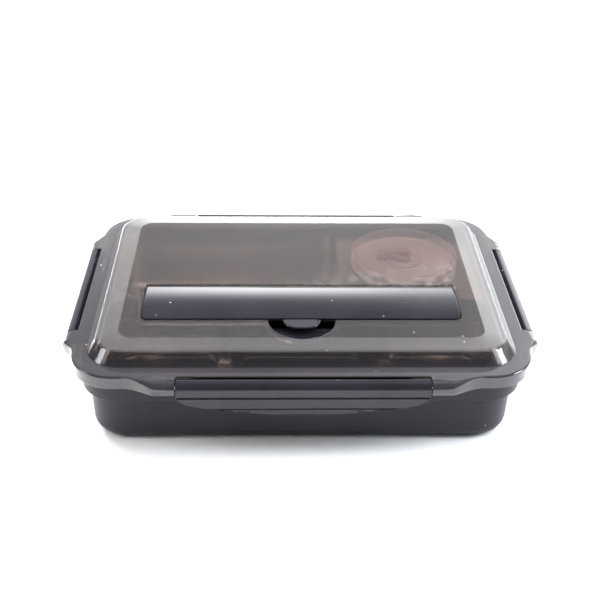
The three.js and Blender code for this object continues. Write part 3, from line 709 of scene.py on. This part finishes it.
# ---- materials ----
class Nodes:
    """A node tree under construction. Sockets are named by their labels; a socket as a value is linked."""

    def __init__(self, tree):
        self.tree = tree

    def add(self, kind, inputs=None, **props):
        node = self.tree.nodes.new(kind)
        for key, value in props.items():
            setattr(node, key, value)
        for key, value in (inputs or {}).items():
            self.put(node.inputs[key], value)
        return node

    def put(self, socket, value):
        if isinstance(value, bpy.types.NodeSocket):
            self.tree.links.new(value, socket)
        else:
            socket.default_value = value

    def math(self, operation, a, b=0.0, clamp=False):
        return self.add("ShaderNodeMath", {0: a, 1: b}, operation=operation, use_clamp=clamp).outputs[0]

    def layers(self, *pairs):
        """The weighted sum of several (value, weight) layers."""
        total = None
        for value, weight in pairs:
            part = self.math("MULTIPLY", value, weight)
            total = part if total is None else self.math("ADD", total, part)
        return total

    def ramp(self, value, low, high, to_low=0.0, to_high=1.0):
        inputs = {"Value": value, "From Min": low, "From Max": high, "To Min": to_low, "To Max": to_high}
        return self.add("ShaderNodeMapRange", inputs, interpolation_type="SMOOTHSTEP").outputs[0]


class Paint(Nodes):
    """A material for one finish."""

    def __init__(self, name):
        self.material = bpy.data.materials.new(name)
        self.material.use_nodes = True
        super().__init__(self.material.node_tree)
        self.shader = self.tree.nodes["Principled BSDF"]
        self.output = self.tree.nodes["Material Output"]
        self.place = self.add("ShaderNodeTexCoord").outputs["Object"]

    def set(self, **values):
        for key, value in values.items():
            self.put(self.shader.inputs[key.replace("_", " ")], value)

    def moved(self, scale, turn=(0, 0, 0)):
        inputs = {"Vector": self.place, "Scale": scale, "Rotation": turn}
        return self.add("ShaderNodeMapping", inputs).outputs[0]

    def noise(self, scale, detail=4.0, rough=0.5, vector=None):
        inputs = {"Vector": vector or self.place, "Scale": scale, "Detail": detail, "Roughness": rough}
        return self.add("ShaderNodeTexNoise", inputs).outputs["Fac"]

    def mix(self, factor, a, b):
        node = self.add("ShaderNodeMix", {0: factor}, data_type="RGBA")
        for index, value in ((6, a), (7, b)):
            self.put(node.inputs[index], value if isinstance(value, bpy.types.NodeSocket) else (*value, 1))
        return node.outputs[2]

    def specks(self, scale, size, density):
        """Small dust marks: 1 on a speck, 0 elsewhere."""
        cells = self.add("ShaderNodeTexVoronoi", {"Vector": self.place, "Scale": scale})
        near = self.ramp(cells.outputs["Distance"], size * 0.6, size, 1, 0)
        chosen = self.ramp(self.add("ShaderNodeSeparateColor", {0: cells.outputs["Color"]}).outputs[0],
                           1 - density - 0.01, 1 - density)
        return self.math("MULTIPLY", near, chosen)

    def scratches(self, scale, turn, cut=0.7):
        """Fine straight hairlines along one direction."""
        lines = self.noise(scale, 2.0, 0.4, self.moved((1, 34, 34), turn))
        patch = self.ramp(self.noise(scale * 0.22, 1.0), 0.5, 0.62)
        return self.math("MULTIPLY", self.ramp(lines, cut, cut + 0.02), patch)

    def wear(self, low, high):
        """Convex edges, broken up by noise."""
        edge = self.ramp(self.add("ShaderNodeNewGeometry").outputs["Pointiness"], low, high)
        return self.math("MULTIPLY", edge, self.ramp(self.noise(160), 0.35, 0.7))

    def bump(self, height, strength):
        normal = self.add("ShaderNodeBump", {"Height": height, "Strength": strength, "Distance": 0.2 * MM})
        self.put(self.shader.inputs["Normal"], normal.outputs[0])


def moulded(name, colour, worn, roughness, grain_depth=0.12, specular=0.5, wear=(0.53, 0.62), mottle=0.09):
    """Moulded plastic: slow tone changes, fine grain, hairlines, dust and worn edges."""
    p = Paint(name)
    slow = p.noise(22, 3)
    tone = p.mix(p.ramp(slow, 0.3, 0.7), [c * 0.86 for c in colour], [min(1, c * 1.12) for c in colour])
    edge = p.wear(*wear)
    dusty = p.specks(260, 0.16, 0.012)
    hair = p.scratches(60, (0, 0, 0.5))
    tone = p.mix(p.math("MULTIPLY", edge, 0.45), tone, worn)
    tone = p.mix(p.math("MULTIPLY", dusty, 0.6), tone, (0.5, 0.5, 0.5))
    uneven = p.layers((p.ramp(p.noise(38, 5), 0.3, 0.75), mottle), (edge, 0.12), (hair, 0.1), (dusty, 0.3))
    rough = p.math("ADD", roughness, uneven, clamp=True)
    p.set(Base_Color=tone, Specular_IOR_Level=specular, Roughness=rough)
    p.bump(p.layers((p.noise(1500, 2), grain_depth), (hair, -0.5), (dusty, 0.5)), 0.35)
    return p.material


def steel(name, colour, roughness, warm=(0.75, 0.6, 0.42)):
    """Drawn steel: brushed grain, faint water marks and warm tinting."""
    p = Paint(name)
    grain = p.noise(90, 5, 0.6, p.moved((1, 40, 40)))
    marks = p.ramp(p.noise(17, 5, 0.6), 0.55, 0.68)
    tone = p.mix(p.ramp(p.noise(9, 2), 0.3, 0.7), colour, [c * 0.86 for c in colour])
    tone = p.mix(p.math("MULTIPLY", marks, 0.16), tone, warm)
    rough = p.math("ADD", roughness, p.layers((grain, 0.14), (marks, 0.06)), clamp=True)
    p.set(Base_Color=tone, Metallic=1.0, Anisotropic=0.4, Roughness=rough)
    p.bump(p.layers((grain, 0.5), (p.scratches(80, (0, 0, 1.1)), -0.6)), 0.12)
    return p.material


def silicone(name, colour):
    """Soft rubber with a fine matt grain, which lets a little light in."""
    p = Paint(name)
    tone = p.mix(p.ramp(p.noise(40, 3), 0.3, 0.7), colour, [c * 0.85 for c in colour])
    rough = p.math("ADD", 0.42, p.layers((p.noise(300, 3), 0.2)))
    p.set(Base_Color=tone, Roughness=rough, Specular_IOR_Level=0.4, Subsurface_Weight=0.15,
          Subsurface_Radius=(0.004, 0.003, 0.003), Subsurface_Scale=0.3)
    p.bump(p.layers((p.noise(900, 2), 0.3), (p.noise(60, 2), 0.4)), 0.2)
    return p.material


LID_BODY = (0.026, 0.024, 0.028)
LID_BAND_PAINTED_SHEEN = (0.15, 0.145, 0.15)                   # painted sheen: a lighter colour for the polished band round the frosted panel, standing in for its brighter reflection
LID_TINT = (0.95, 0.89, 0.85)                    # what each pass through a surface leaves of the light
LID_ROUGH, LID_FROST = 0.08, 0.17                # roughness of the shell, and how much the panel adds
LID_CLEAR, LID_THICK_CLEAR = 0.63, 0.13          # how much is seen through the top, and through the flange
LID_BLUR = 0.035                                 # how much the frosted panel spreads what is seen through it
HEAD_ON, GRAZING, FALLOFF = 0.045, 0.95, 4.5     # how the lid's reflection grows towards grazing angles
SHELL_SHINE, PANEL_SHINE = 1.3, 0.55             # its strength on the shell and on the frosted panel


def smoked_lid(name):
    """Smoked clear plastic: a polished shell, with a frosted panel in its top that blurs what lies deeper."""
    p = Paint(name)
    split = p.add("ShaderNodeSeparateXYZ", {0: p.place})
    corner = FLANGE_CORNER - CORNER_EASE * LID_PANEL
    beyond = []
    for axis, half in (("X", FLANGE_X - LID_PANEL - corner), ("Y", FLANGE_Y - LID_PANEL - corner)):
        past = p.math("SUBTRACT", p.math("ABSOLUTE", split.outputs[axis]), half * MM)
        beyond.append(p.math("MAXIMUM", past, 0.0))
    reach = p.math("SQRT", p.math("ADD", p.math("POWER", beyond[0], 2.0), p.math("POWER", beyond[1], 2.0)))
    inside = p.ramp(reach, (corner - 0.3) * MM, (corner + 0.1) * MM, 1, 0)
    panel = p.math("MULTIPLY", inside, p.ramp(split.outputs["Z"], (LID_TOP - 2.6) * MM, (LID_TOP - 1.5) * MM))
    outside = p.math("SUBTRACT", 1.0, inside)
    band = p.math("MULTIPLY", p.ramp(split.outputs["Z"], (LID_TOP - 1.9) * MM, (LID_TOP - 1) * MM), outside)
    thin = p.ramp(split.outputs["Z"], (FLANGE_Z - 0.5) * MM, (FLANGE_Z + 1.5) * MM)
    edge = p.wear(0.54, 0.64)
    dusty = p.specks(210, 0.15, 0.02)
    hair = p.math("MAXIMUM", p.scratches(42, (0, 0, 0.95), 0.8), p.scratches(50, (0, 0, -0.5), 0.8))
    cloud = p.ramp(p.noise(11, 4, 0.55), 0.3, 0.72)
    tone = p.mix(cloud, LID_BODY, [c * 1.3 for c in LID_BODY])
    # painted sheen: the band round the frosted panel is lightened in colour to look brighter
    tone = p.mix(p.math("MULTIPLY", band, 0.8), tone, LID_BAND_PAINTED_SHEEN)
    tone = p.mix(p.layers((edge, 0.35), (dusty, 0.6), (hair, 0.35)), tone, (0.5, 0.49, 0.48))
    rough = p.math("ADD", LID_ROUGH, p.layers((panel, LID_FROST), (p.ramp(p.noise(30, 5), 0.35, 0.75), 0.05),
                                              (edge, 0.1), (dusty, 0.3), (hair, 0.2)), clamp=True)
    p.set(Base_Color=tone, Specular_IOR_Level=0.0, Roughness=0.8)
    p.bump(p.layers((p.noise(1300, 2), 0.02), (p.noise(7, 1), 0.2), (hair, -0.3), (dusty, 0.3)), 0.3)
    normal = p.shader.inputs["Normal"].links[0].from_socket
    gloss = p.add("ShaderNodeBsdfGlossy", {"Color": (1, 1, 1, 1), "Roughness": rough, "Normal": normal})
    mixed = lambda factor, a, b: p.add("ShaderNodeMixShader", {0: factor, 1: a.outputs[0], 2: b.outputs[0]})
    facing = p.add("ShaderNodeLayerWeight", {"Blend": 0.5, "Normal": normal}).outputs["Facing"]
    shine = p.math("ADD", HEAD_ON, p.layers((p.math("POWER", facing, FALLOFF), GRAZING)))
    shine = p.math("MULTIPLY", shine, p.ramp(panel, 0, 1, SHELL_SHINE, PANEL_SHINE), clamp=True)
    clear = p.add("ShaderNodeBsdfTransparent", {"Color": (*LID_TINT, 1)})
    blurred = p.add("ShaderNodeBsdfRefraction", {"Color": (*LID_TINT, 1), "Roughness": LID_BLUR, "IOR": 1.45})
    sight = mixed(p.layers((panel, 0.35)), clear, blurred)
    marks = p.layers((dusty, 0.4), (hair, 0.2))
    through = p.math("SUBTRACT", p.ramp(thin, 0, 1, LID_THICK_CLEAR, LID_CLEAR), marks, clamp=True)
    plastic = mixed(through, p.shader, sight)
    coated = mixed(shine, plastic, gloss)
    p.tree.links.new(coated.outputs[0], p.output.inputs["Surface"])
    return p.material


def wear_all(obj, material):
    obj.data.materials.clear()
    obj.data.materials.append(material)


base_plastic = moulded("base_plastic", (0.018, 0.0155, 0.022), (0.2, 0.19, 0.2), 0.34, grain_depth=0.03,
                       specular=0.22)
gloss_plastic = moulded("gloss_plastic", (0.016, 0.015, 0.02), (0.14, 0.14, 0.15), 0.1, grain_depth=0.02,
                        specular=0.38, wear=(0.64, 0.74), mottle=0.02)
lid_plastic = smoked_lid("smoked_plastic")
tray_steel = steel("steel", (0.665, 0.6, 0.53), 0.1, warm=(0.84, 0.7, 0.52))
pin_steel = steel("pin_steel", (0.6, 0.6, 0.6), 0.18)
seal_white = silicone("seal_silicone", (0.5, 0.49, 0.47))
plug_pink = silicone("plug_silicone", (0.42, 0.2, 0.19))
bowl_lid_plastic = moulded("bowl_lid_plastic", (0.7, 0.52, 0.52), (0.6, 0.5, 0.48), 0.3)
stick_plastic = moulded("chopstick_plastic", (0.025, 0.023, 0.024), (0.12, 0.11, 0.1), 0.32)

# ---- pieces: (object, body, node it stands for, material slot, material) ----
pieces = [
    (make_base(), "base", "base_shell", "base_plastic", base_plastic),
    (make_lid(), "lid", "lid_shell", "smoked_plastic", lid_plastic),
    (make_lid_seal(), "lid", "lid_seal", "seal_silicone", seal_white),
    (make_cutlery_tray(), "lid", "cutlery_tray", "gloss_plastic", gloss_plastic),
    (make_cover(), "cover", "cutlery_cover", "gloss_plastic", gloss_plastic),
    (make_spoon(), "spoon", "spoon", "steel", tray_steel),
    (make_chopstick("chopstick_1", -26.6), "chopstick_1", "chopstick_1", "chopstick_plastic", stick_plastic),
    (make_chopstick("chopstick_2", -21), "chopstick_2", "chopstick_2", "chopstick_plastic", stick_plastic),
    (make_tray(), "tray", "inner_tray", "steel", tray_steel),
    (make_bowl(), "bowl", "soup_bowl", "steel", tray_steel),
    (make_bowl_lid(), "bowl_lid", "soup_bowl_lid", "bowl_lid_plastic", bowl_lid_plastic),
    (make_bowl_seal(), "bowl_lid", "soup_lid_seal", "seal_silicone", seal_white),
    (make_plug(), "bowl_lid", "soup_lid_plug", "plug_silicone", plug_pink),
]
for side in SIDES:
    pieces.append((make_latch(side), "latch_" + side, "latch_" + side, "gloss_plastic", gloss_plastic))
    pieces.append((make_pin(side), "lid", "hinge_pin_" + side, "pin_steel", pin_steel))
for piece, body, node, slot, material in pieces:
    piece.name = node + "_look"
    wear_all(piece, material)
    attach(piece, body)
    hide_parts(node)

# ---- floor, light and camera ----
FLOOR_HALF, FLOOR_Z = 4000, -0.2
corners = [(x * FLOOR_HALF, y * FLOOR_HALF, FLOOR_Z) for x, y in ((-1, -1), (1, -1), (1, 1), (-1, 1))]
floor = mesh_object("floor", corners, [(0, 1, 2, 3)])
ground = Paint("ground")
ground.set(Base_Color=ground.mix(ground.noise(3, 3), (0.86, 0.86, 0.86), (0.9, 0.9, 0.9)), Roughness=0.9,
           Specular_IOR_Level=0.1)
wear_all(floor, ground.material)

scene = bpy.context.scene
scene.view_settings.view_transform = "Standard"
SKY = 0.1                        # brightness all round
GLOWS = [                        # direction, brightness, tightness
    ((0, 0.85, 0.53), 0.15, 2),             # behind, wide
    ((0, 1, 0), 1.3, 6),                    # behind, at the horizon
    ((0, 0.966, 0.259), 4.4, 50),           # behind, low
    ((0, 0.998, 0.07), 2, 120),             # behind, at floor level
    ((0.459, 0.734, 0.5), 3.7, 30),         # a window, back right
    ((0.6, 0.78, 0.15), 3.5, 25),           # back right, low
    ((0.98, -0.1, 0.15), 1.6, 8),           # to the right
    ((-0.52, 0.81, 0.27), 0.7, 90),         # back left, low
    ((0, 0.15, 0.989), 0.2, 30),            # above
    ((0.3, 0.1, 0.95), 1.5, 50),            # above right
]
world = bpy.data.worlds.new("studio")
world.use_nodes = True
scene.world = world
sky = Nodes(world.node_tree)
toward = sky.add("ShaderNodeSeparateXYZ", {0: sky.add("ShaderNodeTexCoord").outputs["Generated"]}).outputs
glow = SKY
for direction, brightness, tightness in GLOWS:
    facing = sky.math("MAXIMUM", sky.layers(*zip(toward, direction)), 0.0)
    glow = sky.math("ADD", glow, sky.layers((sky.math("POWER", facing, tightness), brightness)))
background = world.node_tree.nodes["Background"].inputs
background["Color"].default_value = (0.96, 0.98, 1, 1)
sky.put(background["Strength"], glow)


def softbox(name, place, size, brightness, aim=(0, 0, 0.03), colour=(1, 1, 1), glossy=True):
    """An elliptical light that the camera doesn't see. Without glossy, no reflection shows it either."""
    lamp = bpy.data.lights.new(name, "AREA")
    lamp.shape = "ELLIPSE"
    lamp.size, lamp.size_y = size
    lamp.energy = brightness * size[0] * size[1] * math.pi
    lamp.color = colour
    obj = bpy.data.objects.new(name, lamp)
    obj.location = place
    obj.rotation_euler = (Vector(aim) - Vector(place)).to_track_quat("-Z", "Y").to_euler()
    obj.visible_camera = False
    obj.visible_glossy = glossy
    scene.collection.objects.link(obj)


softbox("overhead", (0, 0.1, 1.6), (2.0, 1.6), 1.7, glossy=False)
softbox("right_side", (0.72, -0.16, 0.42), (0.3, 0.3), 16, (0.14, -0.1, 0.02), (0.88, 0.94, 1))
softbox("left_side", (-0.68, -0.14, 0.38), (0.26, 0.26), 7, (-0.16, -0.1, 0.02), (0.92, 0.96, 1))
# these lift the floor around the box
softbox("floor_left", (-0.32, 0.42, 0.5), (0.7, 0.7), 11, (-0.32, 0.35, 0), glossy=False)
softbox("floor_right", (0.32, -0.14, 0.45), (0.3, 0.3), 9, (0.26, -0.14, 0), (0.9, 0.95, 1), glossy=False)
softbox("floor_front_left", (-0.3, -0.3, 0.42), (0.3, 0.3), 4, (-0.22, -0.16, 0), glossy=False)

FOCAL, SENSOR = 61.04, 36
YAW, ELEVATION, ROLL = math.radians(-2.0), math.radians(32), math.radians(-1.1)
DISTANCE = 0.6721
TARGET = Vector((0.0005, 0, 0.0447))
back = Vector((math.sin(YAW) * math.cos(ELEVATION), -math.cos(YAW) * math.cos(ELEVATION),
               math.sin(ELEVATION)))
right = Vector((math.cos(YAW), math.sin(YAW), 0))
up = back.cross(right)
rolled_right = right * math.cos(ROLL) - up * math.sin(ROLL)
rolled_up = right * math.sin(ROLL) + up * math.cos(ROLL)
camera_data = bpy.data.cameras.new("camera")
camera_data.lens, camera_data.sensor_width = FOCAL, SENSOR
camera_data.clip_start, camera_data.clip_end = 0.01, 50
camera = bpy.data.objects.new("camera", camera_data)
camera.matrix_world = Matrix.Translation(TARGET + back * DISTANCE) @ Matrix(
    (rolled_right, rolled_up, back)).transposed().to_4x4()
scene.collection.objects.link(camera)
scene.camera = camera
